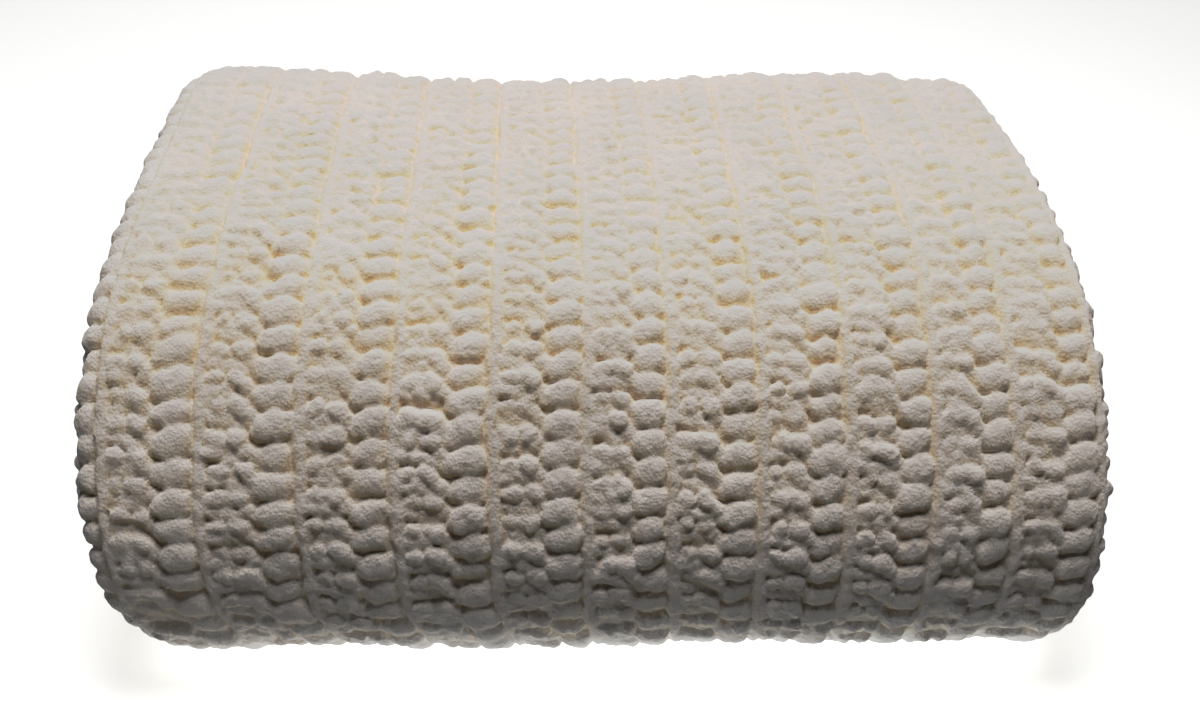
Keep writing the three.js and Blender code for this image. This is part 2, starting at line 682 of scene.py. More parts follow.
    def _furrow(self, band: Band, wide: np.ndarray, deep: np.ndarray) -> np.ndarray:
        """The thin furrow between a band's puffs and the next row ridge, open in some places only.

        Args:
            band: the band.
            wide: strayed places across, in mm.
            deep: even places along, as one column, in mm.

        Returns:
            Shares of the furrow's depth.
        """
        own_place = np.full_like(deep, self.furrow_apart * band.number)
        gapes = 0.5 + 0.5 * soft_noise(SEED + Chance.FURROWS, own_place, deep / self.furrow_run)
        off = wide - band.end + self.furrow_at * band.width
        return gapes * np.exp(-(off / self.furrow_half) ** 2)

    def _round(self, gap: np.ndarray, height: np.ndarray, radius: np.ndarray) -> np.ndarray:
        """Height of a round strand beside its middle line, with a steep skirt past its sides.

        Args:
            gap: distance from the middle line, in mm.
            height: of the middle line, in mm.
            radius: of the strand, in mm.

        Returns:
            Heights in mm.
        """
        share = gap / radius
        dome = np.sqrt(np.clip(1 - share * share, 0, None))
        return height + radius * (dome - self.skirt * np.clip(share - 1, 0, None))

    def _add_band(self, total: np.ndarray, band: Band, wide: np.ndarray, deep: np.ndarray,
                  along: np.ndarray) -> None:
        """Merges one band's stitches into the relief.

        Args:
            total: the merged relief so far over the band, which is changed.
            band: the band.
            wide: strayed places across, in mm.
            deep: strayed places along, in mm.
            along: rising places along the rows, in mm.
        """
        begins = 0.5 + 0.5 * float(lattice(SEED + Chance.FIRST_STITCH, np.array(band.number), np.array(0)))
        for stitch in range(-self.spare, int(along[-1] / self.pitch) + self.spare):
            base = (stitch + begins) * self.pitch
            low = np.searchsorted(along, base - self.before * self.pitch)
            high = np.searchsorted(along, base + self.after * self.pitch)
            if high - low > 1:
                segments, parts = self._stitch(band.number, stitch)
                from_ridge = wide[None, low:high] - band.start
                from_base = deep[None, low:high] - base
                total[low:high] += self._strands(segments, parts, band.width, from_ridge, from_base)

    def _run_height(self, field: Chance, apart: float, band: int, stitch: int) -> float:
        """How much higher than usual a run of stitches stands.

        Args:
            field: knots or puffs.
            apart: how far apart two bands are in the noise.
            band: number of the band.
            stitch: number of the stitch in the band.

        Returns:
            A height in mm.
        """
        noise = soft_noise(SEED + field, np.array(apart * band), np.array(stitch / self.swollen_run))
        return self.swollen * float(noise)

    def _stitch(self, band: int, stitch: int) -> tuple[np.ndarray, list[int]]:
        """The strands of one stitch, each a little different from its neighbours.

        Args:
            band: number of the band.
            stitch: number of the stitch in the band, below zero for the spare ones at the start.

        Returns:
            Segments as rows of two beads of four values, and where each strand's segments start.
        """
        chance = np.random.default_rng([SEED, band, stitch + STITCH_SHIFT])
        knot = chance.normal(0, self.knot_spread.row())
        knot[HEIGHT] += self._run_height(Chance.KNOT_RUNS, self.knots_apart, band, stitch)
        puff = chance.normal(0, self.puff_spread.row())
        puff[HEIGHT] += self._run_height(Chance.PUFF_RUNS, self.puffs_apart, band, stitch)
        knot_size, puff_size = chance.normal(1, self.size_spread, 2)
        raised = {
            Strand.SHOULDER: chance.uniform(-0.8, 0.9),
            Strand.FOOT: chance.uniform(-1.0, 1.4),
            Strand.LEFT_LOBE: chance.normal(0, 0.5),
            Strand.BRIDGE: chance.uniform(-1.2, 1.0),
            Strand.MIDDLE_LOBE: chance.uniform(-1.6, 1.0),
            Strand.RIGHT_LOBE: chance.normal(0.1, 0.5),
            Strand.LOWER_LOBE: chance.uniform(-1.2, 0.8),
            Strand.TAIL: chance.uniform(-1.2, 0.8),
        }
        segments: list[np.ndarray] = []
        parts: list[int] = []
        for strand in Strand:
            beads = np.array([bead.row() for bead in strand.value])
            uneven = chance.normal(0, 1, beads.shape) * self.bead_spread.row()
            beads[:, HEIGHT] += raised.get(strand, 0.0)
            if strand is Strand.CORD:
                beads += self.cord_share * uneven
            else:
                beads += uneven + (puff if strand.plump else knot)
                beads[:, RADIUS] *= puff_size if strand.plump else knot_size
            parts.append(len(segments))
            segments.extend(np.stack([beads[:-1], beads[1:]], axis=1))
        return np.array(segments), parts

    def _strands(self, segments: np.ndarray, parts: list[int], width: float,
                 wide: np.ndarray, deep: np.ndarray) -> np.ndarray:
        """The share of one stitch's strands in the merged relief.

        Args:
            segments: rows of two beads of four values.
            parts: where each strand's segments start.
            width: of the band, in mm.
            wide: places across from the band's ridge, in mm.
            deep: places along from the stitch's start, in mm.

        Returns:
            The strands' share, a row for each place along.
        """
        scale = np.array([width, self.pitch, 1.0, 1.0])
        starts = segments[:, 0] * scale
        runs = (segments[:, 1] - segments[:, 0]) * scale
        across, along, height, radius = starts.T[:, :, None, None]
        run_across, run_along, rise, widening = runs.T[:, :, None, None]
        reach = run_across ** 2 + run_along ** 2
        share = ((wide - across) * run_across + (deep - along) * run_along) / reach
        share = np.clip(share, 0, 1)
        gap = np.hypot(wide - across - share * run_across, deep - along - share * run_along)
        domes = self._round(gap, height + share * rise, radius + share * widening)
        return np.exp(self.merge * np.maximum.reduceat(domes, parts, axis=0)).sum(axis=0)


@dataclass(frozen=True)
class ChenilleYarn:
    """Chenille, a cut pile of fine polyester held in a twisted core, worked with a large hook.

    The pile scatters light, so the eye sees a matt cream face with a soft bright rim. The colour has
    painted shade:
    warmer and darker in the creases and on the undersides of the strands, for light that has come through
    the pile.

    Attributes:
        crest_colour: of the pile in full light.
        painted_flank_colour: painted shade on the strands' sides, a little warmer and darker than the
            crests.
        painted_crease_colour: painted shade in the creases and on the undersides of strands, warm as light
            that has come through the pile.
        crest_at: level of the painted-shade layer from which the crest's colour shows.
        painted_flank_at: level of the painted-shade layer at which the painted colour of the sides shows.
        painted_crease_at: level of the painted-shade layer below which the painted colour of the creases
            shows.
        roughness: of the fibres.
        ior: of the pile.
        sheen: of the standing fibres.
        sheen_roughness: of the sheen.
        sheen_colour: of the sheen.
        blotch_mm: size of slow changes of tone.
        blotch_tones: darkest and lightest tone of those.
        blotch_span: the middle of the noise that they use.
        tuft_mm: size of a tuft of the pile.
        tuft_depth_mm: height of a tuft.
        tuft_shade_tones: tone on a tuft and between tufts, where it is painted shade.
        tuft_span: from a tuft's middle to between tufts, in tufts.
        fibre_mm: size of the fibres' grain, which is drawn coarser than real fibres so that it shows.
        fibre_depth_mm: height of that grain.
    """

    crest_colour: str = "#F0E9E3"
    painted_flank_colour: str = "#F2E3CA"
    painted_crease_colour: str = "#F8D799"
    crest_at: float = 0.97
    painted_flank_at: float = 0.60
    painted_crease_at: float = 0.12
    roughness: float = 0.95
    ior: float = 1.46
    sheen: float = 0.25
    sheen_roughness: float = 0.55
    sheen_colour: str = "#FFF6E8"
    blotch_mm: float = 55.0
    blotch_tones: tuple[float, float] = (0.95, 1.03)
    blotch_span: tuple[float, float] = (0.3, 0.7)
    tuft_mm: float = 1.4
    tuft_depth_mm: float = 0.34
    tuft_shade_tones: tuple[float, float] = (1.01, 0.97)
    tuft_span: tuple[float, float] = (0.1, 0.7)
    fibre_mm: float = 0.3
    fibre_depth_mm: float = 0.36

    def material(self) -> bpy.types.Material:
        """Makes the yarn's material.

        Returns:
            A node material that reads the height and painted shade from the mesh.
        """
        made = bpy.data.materials.new("cream_chenille_yarn")
        made.use_nodes = True
        tree = made.node_tree
        shader = tree.nodes["Principled BSDF"]
        place = add_node(tree, "ShaderNodeTexCoord").outputs["Object"]
        tufts = add_node(tree, "ShaderNodeTexVoronoi", {
            "Vector": place, "Scale": 1 / (self.tuft_mm * MM),
        }).outputs["Distance"]
        tree.links.new(self._colour(tree, place, tufts), shader.inputs["Base Color"])
        tree.links.new(self._grain(tree, place, tufts), shader.inputs["Normal"])
        shader.inputs["Roughness"].default_value = self.roughness
        shader.inputs["Diffuse Roughness"].default_value = 1.0
        shader.inputs["IOR"].default_value = self.ior
        # Fibre ends that stand up catch light from the side, which gives the strands a soft bright rim
        shader.inputs["Sheen Weight"].default_value = self.sheen
        shader.inputs["Sheen Roughness"].default_value = self.sheen_roughness
        shader.inputs["Sheen Tint"].default_value = linear(self.sheen_colour)
        return made

    def _colour(self, tree: bpy.types.NodeTree, place: bpy.types.NodeSocket,
                tufts: bpy.types.NodeSocket) -> bpy.types.NodeSocket:
        """Colours the yarn by its height and painted shade, with slow changes of tone and painted shade
        between tufts.

        Args:
            tree: the material's nodes.
            place: on the object.
            tufts: distance from the middle of a tuft.

        Returns:
            The colour.
        """
        # Painted shade: the layer is lower in creases and on the undersides of strands, which take warmer,
        # darker colours
        height_and_painted_shade = add_node(tree, "ShaderNodeAttribute", attribute_name=PAINTED_SHADE_LAYER).outputs["Fac"]
        ramp = add_node(tree, "ShaderNodeValToRGB", {"Fac": height_and_painted_shade})
        # The colours below the crests' are painted shade, warm as light that has come through the pile
        gap, crest = ramp.color_ramp.elements
        gap.position = self.painted_crease_at
        gap.color = linear(self.painted_crease_colour)
        crest.position = self.crest_at
        crest.color = linear(self.crest_colour)
        flank = ramp.color_ramp.elements.new(self.painted_flank_at)
        flank.color = linear(self.painted_flank_colour)
        blotch = add_node(tree, "ShaderNodeTexNoise", {
            "Vector": place, "Scale": 1 / (self.blotch_mm * MM), "Detail": 3.0, "Roughness": 0.6,
        })
        tint = add_node(tree, "ShaderNodeMapRange", {
            "Value": blotch.outputs["Fac"],
            "From Min": self.blotch_span[0], "From Max": self.blotch_span[1],
            "To Min": self.blotch_tones[0], "To Max": self.blotch_tones[1],
        })
        # Painted shade: a little darker between tufts, a little lighter on them
        between = add_node(tree, "ShaderNodeMapRange", {
            "Value": tufts,
            "From Min": self.tuft_span[0], "From Max": self.tuft_span[1],
            "To Min": self.tuft_shade_tones[0], "To Max": self.tuft_shade_tones[1],
        })
        tone = add_node(tree, "ShaderNodeMath", {
            0: tint.outputs["Result"], 1: between.outputs["Result"],
        }, operation="MULTIPLY")
        shade = add_node(tree, "ShaderNodeVectorMath", {
            0: ramp.outputs["Color"], "Scale": tone.outputs["Value"],
        }, operation="SCALE")
        return shade.outputs["Vector"]

    def _grain(self, tree: bpy.types.NodeTree, place: bpy.types.NodeSocket,
               tufts: bpy.types.NodeSocket) -> bpy.types.NodeSocket:
        """Raises the tufts of the pile and the fibres on them.

        Args:
            tree: the material's nodes.
            place: on the object.
            tufts: distance from the middle of a tuft.

        Returns:
            The normal.
        """
        fibres = add_node(tree, "ShaderNodeTexNoise", {
            "Vector": place, "Scale": 1 / (self.fibre_mm * MM), "Detail": 2.0, "Roughness": 0.6,
        })
        pile = add_node(tree, "ShaderNodeBump", {
            "Height": tufts, "Strength": 1.0, "Distance": self.tuft_depth_mm * MM,
        }, invert=True)
        fuzz = add_node(tree, "ShaderNodeBump", {
            "Height": fibres.outputs["Fac"], "Strength": 1.0, "Distance": self.fibre_depth_mm * MM,
            "Normal": pile.outputs["Normal"],
        })
        return fuzz.outputs["Normal"]


@dataclass(frozen=True)
class Strip:
    """Some rows of the crochet, from one cut across the cloth to another.

    Attributes:
        name: of the piece.
        start: place of the first cut across the cloth, in mm.
        end: place of the second cut, or the far side of the right edge.
        step: of the mesh across, in mm.
        relief: share of the full relief.
        all_open: whether the strip shows in every pass of the stack.
        stride: how many times longer the mesh's steps along the rows are than usual.
    """

    name: str
    start: float
    end: float
    step: float
    relief: float
    all_open: bool
    stride: float = 1.0


@dataclass(frozen=True)
class Face:
    """The plain outer side of a strip, a row of points for each station.

    Attributes:
        middle: points in the middle of the leaf, as x and n in mm.
        out: the way out from them, as x and n.
        thin: share of the cloth's thickness at each station.
        stations: the path.
    """

    middle: np.ndarray
    out: np.ndarray
    thin: np.ndarray
    stations: Stations


@dataclass(frozen=True)
class Blanket:
    """The folded blanket, made as strips of rows that meet in the furrows between them.

    Attributes:
        cloth: sizes of the cloth.
        path: the folds.
        crochet: the stitches.
        yarn: the finish.
        cut_ridges: the row ridges on the upper leaf that have a cut beside them, from the left fold.
        cut_reach: how far from a cut the mesh bends into the furrow, in mm.
        lower_edge: width of the strip at the lower leaf's open edge, to where it turns, in mm.
        inner_step: step of the mesh on the inner side, which is hidden, in mm.
        fewest_inner: steps that the inner side is divided into.
        fold_steps: steps of the mesh round the inside of the left fold.
        wall_steps: points down a cut.
        wall_share: share of the leaf's thickness that those divide.
        fade: length over which the relief fades where the cloth goes out of sight, in mm.
        sunk: how far under the crests a face without relief lies, in mm.
        thinnest: share of the cloth's thickness that is left at its free ends.
        soft: share of the strands' height that the light sees, because it spreads in the pile.
        crease_shade: painted shade on the ground between strands: how much warmer and darker it is coloured
            than their crests.
        underside_shade: painted shade on the undersides of strands: how much warmer and darker they are
            coloured.
        level: how far a strand that faces as the cloth does already counts as an underside for the painted
            shade.
        inner_painted_shade: value of the painted-shade layer on the inner side.
        map_outer: share of a column of the flat layout for the outer side.
        map_columns: columns in the flat layout.
        map_margin: space round the columns, as a share.
    """

    cloth: Cloth
    path: FoldPath
    crochet: Crochet
    yarn: ChenilleYarn
    cut_ridges: tuple[int, ...] = (0, 3, 6, 8)
    cut_reach: float = 16.0
    lower_edge: float = 24.0
    inner_step: float = 14.0
    fewest_inner: int = 4
    fold_steps: int = 6
    wall_steps: int = 3
    wall_share: float = 0.8
    fade: float = 12.0
    sunk: float = 1.5
    thinnest: float = 0.05
    soft: float = 0.64
    crease_shade: float = 0.2
    underside_shade: float = 0.4
    level: float = 0.12
    inner_painted_shade: float = 0.7
    map_outer: float = 0.92
    map_columns: int = 3
    map_margin: float = 0.006

    def strips(self) -> list[Strip]:
        """The strips, from the left fold over the upper leaf, then the lower leaf.

        Returns:
            The strips in order.
        """
        cloth = self.cloth
        ridges = cloth.ridges()
        first = int(np.searchsorted(ridges, 0))
        cuts = []
        for k in self.cut_ridges:
            before, ridge = ridges[first + k - 1:first + k + 1]
            cuts.append(ridge - self.crochet.furrow_at * (ridge - before))
        far = cloth.flat_run + cloth.rim_run
        inner_edge = cloth.fold_run + cloth.flat_run - self.lower_edge
        return [
            Strip("rows_at_left_fold", -cloth.fold_run, cuts[0], 1.4, 1.0, True),
            Strip("rows_upper_left", cuts[0], cuts[1], 1.0, 1.0, False),
            Strip("rows_upper_middle", cuts[1], cuts[2], 1.0, 1.0, False),
            Strip("rows_upper_right", cuts[2], cuts[3], 1.0, 1.0, False),
            Strip("rows_at_right_edge", cuts[3], far, 1.3, 1.0, True),
            Strip("rows_lower_leaf", -inner_edge, -cloth.fold_run, 3.4, 0.5, False, 2.4),
            Strip("rows_at_lower_edge", -cloth.fold_run - far, -inner_edge, 1.4, 1.0, True),
        ]

    def build(self) -> list[bpy.types.Object]:
        """Makes every strip as a dressed piece on the body.

        Returns:
            The pieces.
        """
        material = self.yarn.material()
        pieces = []
        for strip in self.strips():
            piece = self._piece(strip)
            self._dress(piece, strip, material)
            pieces.append(piece)
        return pieces

    def _dress(self, piece: bpy.types.Object, strip: Strip, material: bpy.types.Material) -> None:
        """Gives a piece its yarn, hangs it on the body and hides the solid part that it stands for.

        Args:
            piece: the strip's object.
            strip: the strip.
            material: the yarn.
        """
        piece.data.materials.append(material)
        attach(piece, BODY)
        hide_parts(NODE)
        self._flat_width(strip) * MM
        self.path.length() * MM

    def _ends_at_edge(self, strip: Strip) -> bool:
        """Whether a strip goes round the upper leaf's right edge."""
        return strip.end > self.cloth.flat_run

    def _starts_at_edge(self, strip: Strip) -> bool:
        """Whether a strip starts round the lower leaf's right edge."""
        return strip.start < -self.cloth.fold_run - self.cloth.flat_run

    def _flat_width(self, strip: Strip) -> float:
        """Width of a strip laid flat, where a turned edge counts to its tip only.

        Args:
            strip: the strip.

        Returns:
            Width in mm.
        """
        width = strip.end - strip.start
        if self._ends_at_edge(strip) or self._starts_at_edge(strip):
            width -= self.cloth.rim_run - self.cloth.rim
        return width

    def _piece(self, strip: Strip) -> bpy.types.Object:
        """Makes one strip as a closed mesh.

        Args:
            strip: the strip.

        Returns:
            The new object.
        """
        stations = self.path.stations(strip.all_open, strip.stride)
        across = self._in_furrows(strip, self._outer_places(strip), stations.cloth)
        thin = self._end_round(stations)[:, None]
        face = Face(*self._section(across), thin, stations)
        strands, pile, height_and_painted_shade = self.crochet.heights(across, stations.cloth)
        shown = self._shown(stations)[:, None] * strip.relief

        outer = self._raised(face, (strands + pile) * shown - (1 - shown) * self.sunk)
        inner_at, inner_middle = self._inner_loop(strip)
        inner = self._placed(inner_middle + thin * (inner_at - inner_middle), stations)
        # Painted shade: lower values in creases and on the undersides of strands, which the yarn colours
        # warmer and darker
        height_and_painted_shade = self._paint_shade(height_and_painted_shade, self._raised(face, 0.0), outer)
        inner_painted_shade = np.full(inner.shape[:2], self.inner_painted_shade)
        facing = self._normals(self._raised(face, (self.soft * strands + pile) * shown))

        points = np.concatenate([outer, inner], axis=1)
        return self._mesh(strip.name, points, np.concatenate([height_and_painted_shade, inner_painted_shade], axis=1), facing)

    def _outer_places(self, strip: Strip) -> np.ndarray:
        """Even places across for a strip's outer side.

        Args:
            strip: the strip.

        Returns:
            Rising places in mm.
        """
        return np.linspace(strip.start, strip.end, math.ceil((strip.end - strip.start) / strip.step) + 1)

    def _in_furrows(self, strip: Strip, places: np.ndarray, along: np.ndarray) -> np.ndarray:
        """Bends a strip's mesh so that its cuts lie in the furrows.

        Args:
            strip: the strip.
            places: even places across, in mm.
            along: places along the rows, in mm.

        Returns:
            Places across in mm, a row for each place along.
        """
        bent = np.repeat(places[None, :], len(along), axis=0)
        for cut in (strip.start, strip.end):
            if 0 < cut < self.cloth.flat_run:
                near = np.clip(1 - np.abs(places - cut) / self.cut_reach, 0, 1) ** 2
                bent += self.crochet.furrow_shift(cut, along)[:, None] * near
        return bent

    def _section(self, across: np.ndarray) -> tuple[np.ndarray, np.ndarray]:
        """The outer side of the cloth's section.

        Args:
            across: places across the cloth, in mm.

        Returns:
            Points in the middle of the leaf, and the way out from them, as x and n in mm.
        """
        cloth = self.cloth
        bend = -cloth.width / 2 + cloth.half
        upper = across >= 0
        lower = across <= -cloth.fold_run
        run = np.where(upper, across, np.where(lower, -across - cloth.fold_run, 0.0))
        side = np.where(upper, 1.0, -1.0)
        round_left = np.where(upper | lower, 0.0, -across / cloth.half)
        round_right = np.clip(run - cloth.flat_run, 0, None) / cloth.rim
        flat = np.clip(run, 0, cloth.flat_run)

        out_x = np.where(upper | lower, np.sin(round_right), -np.sin(round_left))
        out_n = np.where(upper | lower, side * np.cos(round_right), np.cos(round_left))
        middle_x = np.where(upper | lower, bend + flat, bend + cloth.middle * out_x)
        middle_n = np.where(upper | lower, side * cloth.middle, cloth.middle * out_n)
        return np.stack([middle_x, middle_n]), np.stack([out_x, out_n])

    def _shown(self, stations: Stations) -> np.ndarray:
        """Share of the relief along the path, fading where the cloth goes out of sight.

        Args:
            stations: the path.

        Returns:
            Shares from 0 to 1.
        """
        step = np.gradient(stations.cloth)
        width = max(1, int(self.fade / float(np.median(step))))
        kernel = np.ones(width) / width
        padded = np.pad(stations.shown, width, mode="edge")
        return np.convolve(padded, kernel, mode="same")[width:-width]

    def _end_round(self, stations: Stations) -> np.ndarray:
        """Share of the cloth's thickness along the path, rounded off at its two free ends.

        Args:
            stations: the path.

        Returns:
            Shares from nearly 0 to 1.
        """
        near = np.minimum(stations.along, stations.along[-1] - stations.along)
        share = np.clip(1 - near / self.cloth.end_round, 0, 1)
        return np.maximum(np.sqrt(1 - share * share), self.thinnest)

    def _raised(self, face: Face, height: Values) -> np.ndarray:
        """Points of a strip's outer side with a relief on it.

        Args:
            face: the plain outer side.
            height: of the relief, in mm.

        Returns:
            Points in metres, a row for each station.
        """
        return self._placed(face.middle + face.thin * (self.cloth.rim + height) * face.out, face.stations)

    def _paint_shade(self, height_and_painted_shade: np.ndarray, plain: np.ndarray, outer: np.ndarray) -> np.ndarray:
        """Paints shade: lowers the value in creases and on the undersides of strands, which the yarn
        colours warmer and darker, as light that has come through the pile.

        Args:
            height_and_painted_shade: how far up the strands are, from 0 to 1.
            plain: points of the plain outer side.
            outer: points of the outer side with its relief.

        Returns:
            The height with painted shade that the yarn's colour reads.
        """
        # Strands that turn down from the cloth's face get painted shade, as if lit from above
        turned_down = self._normals(plain)[..., 2] - self._normals(outer)[..., 2]
        low = 1 - height_and_painted_shade
        under = np.clip(turned_down + self.level, 0, 1)
        return 1 - self.crease_shade * low - self.underside_shade * (1 + np.sqrt(low)) * under

    def _normals(self, points: np.ndarray) -> np.ndarray:
        """Directions that a sheet of points faces.

        Args:
            points: places on the outer side, a row for each station.

        Returns:
            Unit vectors, in the shape of points.
        """
        facing = np.cross(np.gradient(points, axis=1), np.gradient(points, axis=0))
        return -facing / np.maximum(np.linalg.norm(facing, axis=-1, keepdims=True), TINY)

    def _inner_loop(self, strip: Strip) -> tuple[np.ndarray, np.ndarray]:
        """The rest of a strip's section: down one cut, along the inner side and up the other cut.

        Args:
            strip: the strip.

        Returns:
            Points, and the leaf's middle at those points, as x and n in mm, for one station of any number.
        """
        cloth = self.cloth
        ends_at_edge = self._ends_at_edge(strip)
        starts_at_edge = self._starts_at_edge(strip)
        first = -cloth.fold_run - cloth.flat_run if starts_at_edge else strip.start
        last = cloth.flat_run if ends_at_edge else strip.end
        count = max(self.fewest_inner, math.ceil((last - first) / self.inner_step))
        inner = np.linspace(last, first, count + 1)
        if strip.start < 0 < strip.end:
            inner = np.concatenate([[last], np.linspace(0, first, self.fold_steps + 1)])
        if ends_at_edge:
            inner = inner[1:]
        if starts_at_edge:
            inner = inner[:-1]
        down = np.linspace(1, -1, self.wall_steps + 2)[1:-1] * cloth.rim * self.wall_share
        parts = [(inner, np.full(len(inner), -cloth.rim))]
        if not ends_at_edge:
            parts.insert(0, (np.full(self.wall_steps, strip.end), down))
        if not starts_at_edge:
            parts.append((np.full(self.wall_steps, strip.start), down[::-1]))
        places, heights = np.concatenate(parts, axis=1)
        middle, out = self._section(places)
        return (middle + heights * out)[:, None], middle[:, None]

    def _placed(self, section: np.ndarray, stations: Stations) -> np.ndarray:
        """Puts section points in place along the path.

        Args:
            section: places across and along the cloth's normal, in mm, a row for each station.
            stations: the path.

        Returns:
            Points in metres, a row for each station.
        """
        x, n = section
        cloth = self.cloth
        left, right = -cloth.width / 2, cloth.width / 2
        share = (x - left) / cloth.width
        inset_left = left + stations.left[:, None]
        inset_right = right - stations.right[:, None]
        px = inset_left + share * (inset_right - inset_left)
        py = stations.y[:, None] - n * np.sin(stations.slope)[:, None]
        pz = stations.z[:, None] + n * np.cos(stations.slope)[:, None]
        fade = np.maximum(0, 1 - stations.along / self.path.wave_fades_over)[:, None]
        swell = np.cos(2 * math.pi * (x - self.path.wave_trough) / self.path.wave_length)
        pz = np.maximum(0, pz - cloth.pressed - self.path.wave_height * fade * swell)
        return np.stack([px, py, pz], axis=-1) * MM

    def _mesh(self, name: str, points: np.ndarray, height_and_painted_shade: np.ndarray, facing: np.ndarray) -> bpy.types.Object:
        """Makes a closed tube of rings, with its two ends closed.

        Args:
            name: of the piece.
            points: in metres, a ring for each station.
            height_and_painted_shade: for each point, from 0 to 1, with painted shade.
            facing: how the light finds the outer points, which come first in each ring.

        Returns:
            The new object.
        """
        rings, count = points.shape[:2]
        outer = facing.shape[1]
        index = np.arange(rings * count).reshape(rings, count)
        following = np.roll(index, -1, axis=1)
        quads = np.stack([index[1:], following[1:], following[:-1], index[:-1]], axis=-1).reshape(-1, 4)
        faces = [*quads.tolist(), index[0].tolist(), index[-1][::-1].tolist()]
        data = bpy.data.meshes.new(name)
        data.from_pydata(points.reshape(-1, 3).tolist(), [], faces)
        data.polygons.foreach_set("use_smooth", np.ones(len(faces), dtype=bool))
        # The layer of height and painted shade that the yarn's colour reads
        heights = data.attributes.new(PAINTED_SHADE_LAYER, "FLOAT", "POINT")
        heights.data.foreach_set("value", height_and_painted_shade.reshape(-1).astype(np.float32))
        self._sharpen_cuts(data, count, outer)
        self._lay_flat(data, rings, count, outer)
        data.validate()
        data.update()
        normals = np.zeros_like(points)
        normals[:, :outer] = facing
        data.normals_split_custom_set_from_vertices(normals.reshape(-1, 3).tolist())
        piece = bpy.data.objects.new(name, data)
        bpy.context.scene.collection.objects.link(piece)
        return piece

    def _sharpen_cuts(self, data: bpy.types.Mesh, count: int, outer: int) -> None:
        """Parts the shading of a strip's outer side from that of its cuts.

        Args:
            data: the mesh.
            count: points of a ring.
            outer: how many of those lie on the outer side.
        """
        ends = np.empty(2 * len(data.edges), dtype=np.int32)
        data.edges.foreach_get("vertices", ends)
        place, other = (ends.reshape(-1, 2) % count).T
        cut = (place == other) & ((place == 0) | (place == outer - 1))
        sharp = data.attributes.new("sharp_edge", "BOOLEAN", "EDGE")
        sharp.data.foreach_set("value", cut)

    def _lay_flat(self, data: bpy.types.Mesh, rings: int, count: int, outer: int) -> None:
        """Lays the strip out flat for textures, as columns side by side.

        Args:
            data: the mesh, made of quads ring by ring and two end faces.
            rings: how many rings it has.
            count: points of a ring.
            outer: how many of those lie on the outer side.
        """
        margin = self.map_margin
        inner = count - outer
        u = np.concatenate([
            np.linspace(0, self.map_outer, outer),
            self.map_outer + (1 - self.map_outer) * np.arange(1, inner + 2) / (inner + 1),
        ])
        ring = np.repeat(np.arange(rings - 1), count)
        place = np.tile(np.arange(count), rings - 1)
        tall = math.ceil((rings - 1) / self.map_columns)
        column, row = ring // tall, ring % tall
        corner_u = np.stack([place, place + 1, place + 1, place], axis=1)
        corner_v = np.stack([row + 1, row + 1, row, row], axis=1)
        flat_u = (column[:, None] + margin + (1 - 2 * margin) * u[corner_u]) / self.map_columns
        flat_v = margin + (1 - 4 * margin) * corner_v / tall
        quads = np.stack([flat_u, flat_v], axis=-1).reshape(-1, 2)

        # The two end faces lie side by side in the space over the columns
        end_u = np.concatenate([np.linspace(0, 1, outer), np.linspace(1, 0, inner)])
        end_v = np.where(np.arange(count) < outer, 1 - 2 * margin, 1 - margin)
        first_end = np.stack([end_u / 2, end_v], axis=1)
        last_end = np.stack([0.5 + end_u[::-1] / 2, end_v[::-1]], axis=1)
        layer = data.uv_layers.new(name=FLAT_LAYOUT)
        corners = np.concatenate([quads, first_end, last_end])
        layer.uv.foreach_set("vector", corners.astype(np.float32).ravel())


